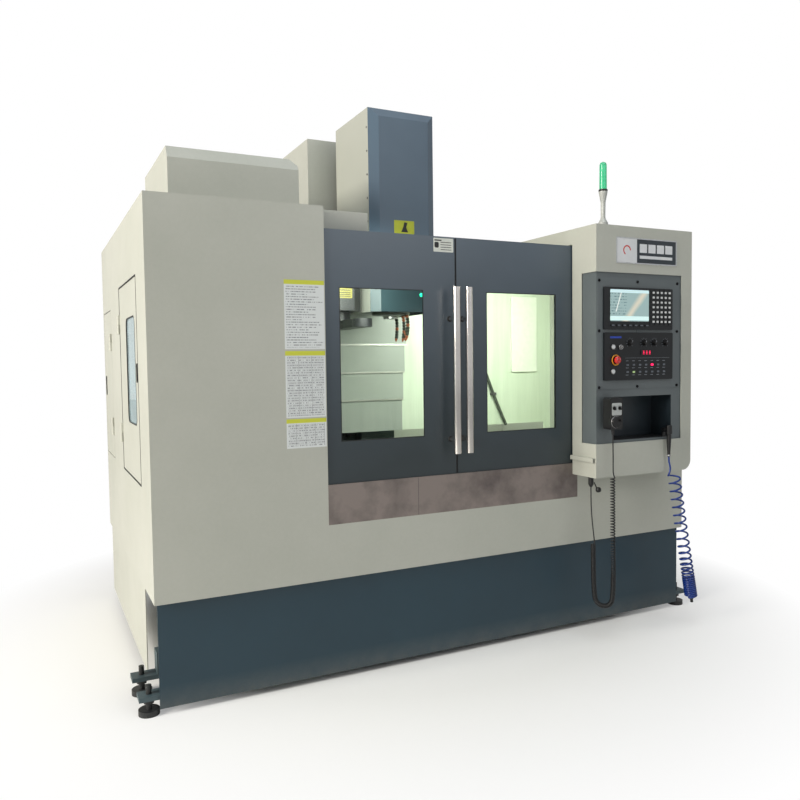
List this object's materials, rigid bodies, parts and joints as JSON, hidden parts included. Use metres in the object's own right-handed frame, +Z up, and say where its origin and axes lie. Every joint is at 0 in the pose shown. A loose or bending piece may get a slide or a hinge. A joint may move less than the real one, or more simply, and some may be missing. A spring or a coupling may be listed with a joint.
{
  "type": "vertical machining center",
  "caption": "Enclosed vertical CNC machining center with two sliding doors, side console, tool magazine, coiled air hose and hand pendant",
  "frame": {"origin": "on the floor under the middle of the overall box", "axes": "+X to the operator's right along the front, +Y from the front into the machine, +Z up"},
  "size_m": [3.2, 2.6, 2.925],
  "materials": {
    "cream_panel": "textured powder coat",
    "slate_door": "semi-gloss paint",
    "dark_base": "textured paint",
    "control_grey": "matt textured paint",
    "stainless": "brushed",
    "handle_steel": "polished",
    "cast_iron": "painted casting",
    "machined_steel": "ground",
    "black_steel": "satin",
    "cover_plate": "satin",
    "black_plastic": "moulded",
    "white_plastic": "moulded",
    "red_plastic": "moulded",
    "green_lens": "translucent",
    "blue_hose": "polyurethane",
    "pale_grey": "moulded",
    "window_pane": "clear"
  },
  "bodies": {
    "frame": {"machine_bed": "cast_iron", "levelling_feet": "black_steel", "column": "cast_iron", "axis_drives": "black_steel", "front_skirt": "dark_base", "left_cabinet": "cream_panel", "right_cabinet": "cream_panel", "front_band": "cream_panel", "stainless_sill": "stainless", "splash_guard": "cover_plate", "magazine_cover": "cream_panel", "column_cover": "cream_panel", "console_housing": "cream_panel", "console_panel": "control_grey", "display_module": "black_plastic", "operator_panel": "control_grey", "lamp_base": "pale_grey", "lamp_lens": "green_lens", "electrical_cabinet": "cream_panel", "tool_changer_gearbox": "cast_iron", "pendant_socket": "black_plastic", "handset": "black_plastic", "air_outlet": "black_plastic", "air_hose": "blue_hose", "air_hose_coil": "blue_hose", "hose_end": "black_plastic", "pendant_lead": "black_plastic", "pendant_coil": "black_plastic", "pendant_tail": "black_plastic"},
    "electric_door": {"electrical_cabinet_door": "cream_panel"},
    "left_door_body": {"left_door": "slate_door", "left_door_glass": "window_pane", "left_door_handle": "handle_steel"},
    "right_door_body": {"right_door": "slate_door", "right_door_glass": "window_pane", "right_door_handle": "handle_steel"},
    "side_door_front_body": {"side_door_front": "cream_panel", "side_door_glass": "window_pane"},
    "side_door_rear_body": {"side_door_rear": "cream_panel"},
    "saddle_body": {"saddle": "cast_iron"},
    "table_body": {"table": "machined_steel"},
    "head_body": {"headstock": "cast_iron", "head_cover": "slate_door", "coolant_nozzles": "black_plastic"},
    "spindle_body": {"spindle": "machined_steel"},
    "plate_upper_body": {"z_cover_upper": "cover_plate"},
    "plate_lower_body": {"z_cover_lower": "cover_plate"},
    "disc_body": {"magazine_disc": "black_steel"},
    "arm_body": {"change_arm": "machined_steel"},
    "e_stop_body": {"e_stop": "red_plastic"},
    "start_button_body": {"start_button": "white_plastic"},
    "stop_button_body": {"stop_button": "white_plastic"},
    "key_switch_body": {"key_switch": "black_steel"},
    "knob_1_body": {"knob_1": "black_plastic"},
    "knob_2_body": {"knob_2": "black_plastic"},
    "knob_3_body": {"knob_3": "black_plastic"},
    "knob_4_body": {"knob_4": "black_plastic"},
    "handwheel_body": {"handwheel": "black_plastic"},
    "axis_selector_body": {"axis_selector": "black_plastic"},
    "rate_selector_body": {"rate_selector": "black_plastic"}
  },
  "joints": [
    {"name": "left_door_slide", "type": "slide", "parent": "frame", "child": "left_door_body", "axis": [-1, 0, 0], "range_m": [0, 0.62]},
    {"name": "right_door_slide", "type": "slide", "parent": "frame", "child": "right_door_body", "axis": [1, 0, 0], "range_m": [0, 0.62]},
    {"name": "side_door_front_hinge", "type": "hinge", "parent": "frame", "child": "side_door_front_body", "pos_m": [-1.537, -0.039, 1.4], "axis": [0, 0, -1], "range_deg": [0, 100]},
    {"name": "side_door_rear_hinge", "type": "hinge", "parent": "frame", "child": "side_door_rear_body", "pos_m": [-1.537, 0.427, 1.4], "axis": [0, 0, 1], "range_deg": [0, 100]},
    {"name": "electric_door_hinge", "type": "hinge", "parent": "frame", "child": "electric_door", "pos_m": [1.427, 1.272, 1.3], "axis": [0, 0, -1], "range_deg": [0, 110]},
    {"name": "y_slide", "type": "slide", "parent": "frame", "child": "saddle_body", "axis": [0, 1, 0], "range_m": [-0.3, 0.3]},
    {"name": "x_slide", "type": "slide", "parent": "saddle_body", "child": "table_body", "axis": [1, 0, 0], "range_m": [-0.55, 0.55]},
    {"name": "z_slide", "type": "slide", "parent": "frame", "child": "head_body", "axis": [0, 0, 1], "range_m": [-0.6, 0]},
    {"name": "spindle_turn", "type": "hinge", "parent": "head_body", "child": "spindle_body", "pos_m": [-0.033, -0.248, 2], "axis": [0, 0, -1], "continuous": true},
    {"name": "z_cover_upper_slide", "type": "slide", "parent": "frame", "child": "plate_upper_body", "axis": [0, 0, 1], "range_m": [-0.4, 0]},
    {"name": "z_cover_lower_slide", "type": "slide", "parent": "frame", "child": "plate_lower_body", "axis": [0, 0, 1], "range_m": [-0.2, 0]},
    {"name": "magazine_turn", "type": "hinge", "parent": "frame", "child": "disc_body", "pos_m": [-0.775, -0.248, 2.145], "axis": [1, 0, 0], "continuous": true},
    {"name": "arm_turn", "type": "hinge", "parent": "frame", "child": "arm_body", "pos_m": [-0.358, -0.248, 1.7], "axis": [0, 0, 1], "range_deg": [0, 270]},
    {"name": "e_stop_push", "type": "slide", "parent": "frame", "child": "e_stop_body", "axis": [0, 1, 0], "range_m": [0, 0.005], "stiffness_N_per_m": 600},
    {"name": "start_push", "type": "slide", "parent": "frame", "child": "start_button_body", "axis": [0, 1, 0], "range_m": [0, 0.003], "stiffness_N_per_m": 400},
    {"name": "stop_push", "type": "slide", "parent": "frame", "child": "stop_button_body", "axis": [0, 1, 0], "range_m": [0, 0.003], "stiffness_N_per_m": 400},
    {"name": "key_turn", "type": "hinge", "parent": "frame", "child": "key_switch_body", "pos_m": [0.861, -1.212, 1.574], "axis": [0, 1, 0], "range_deg": [0, 90]},
    {"name": "knob_1_turn", "type": "hinge", "parent": "frame", "child": "knob_1_body", "pos_m": [0.928, -1.212, 1.597], "axis": [0, 1, 0], "range_deg": [-135, 135]},
    {"name": "knob_2_turn", "type": "hinge", "parent": "frame", "child": "knob_2_body", "pos_m": [1.028, -1.212, 1.597], "axis": [0, 1, 0], "range_deg": [-135, 135]},
    {"name": "knob_3_turn", "type": "hinge", "parent": "frame", "child": "knob_3_body", "pos_m": [1.101, -1.212, 1.597], "axis": [0, 1, 0], "range_deg": [-135, 135]},
    {"name": "knob_4_turn", "type": "hinge", "parent": "frame", "child": "knob_4_body", "pos_m": [1.183, -1.212, 1.597], "axis": [0, 1, 0], "range_deg": [-135, 135]},
    {"name": "handwheel_turn", "type": "hinge", "parent": "frame", "child": "handwheel_body", "pos_m": [0.772, -1.276, 1.181], "axis": [0, 1, 0], "continuous": true},
    {"name": "axis_selector_turn", "type": "hinge", "parent": "frame", "child": "axis_selector_body", "pos_m": [0.759, -1.276, 1.254], "axis": [0, 1, 0], "range_deg": [0, 120]},
    {"name": "rate_selector_turn", "type": "hinge", "parent": "frame", "child": "rate_selector_body", "pos_m": [0.796, -1.276, 1.254], "axis": [0, 1, 0], "range_deg": [0, 90]}
  ],
  "couplings": [
    {"joint": "z_cover_upper_slide", "follows": "z_slide", "ratio": 0.66667},
    {"joint": "z_cover_lower_slide", "follows": "z_slide", "ratio": 0.33333}
  ]
}
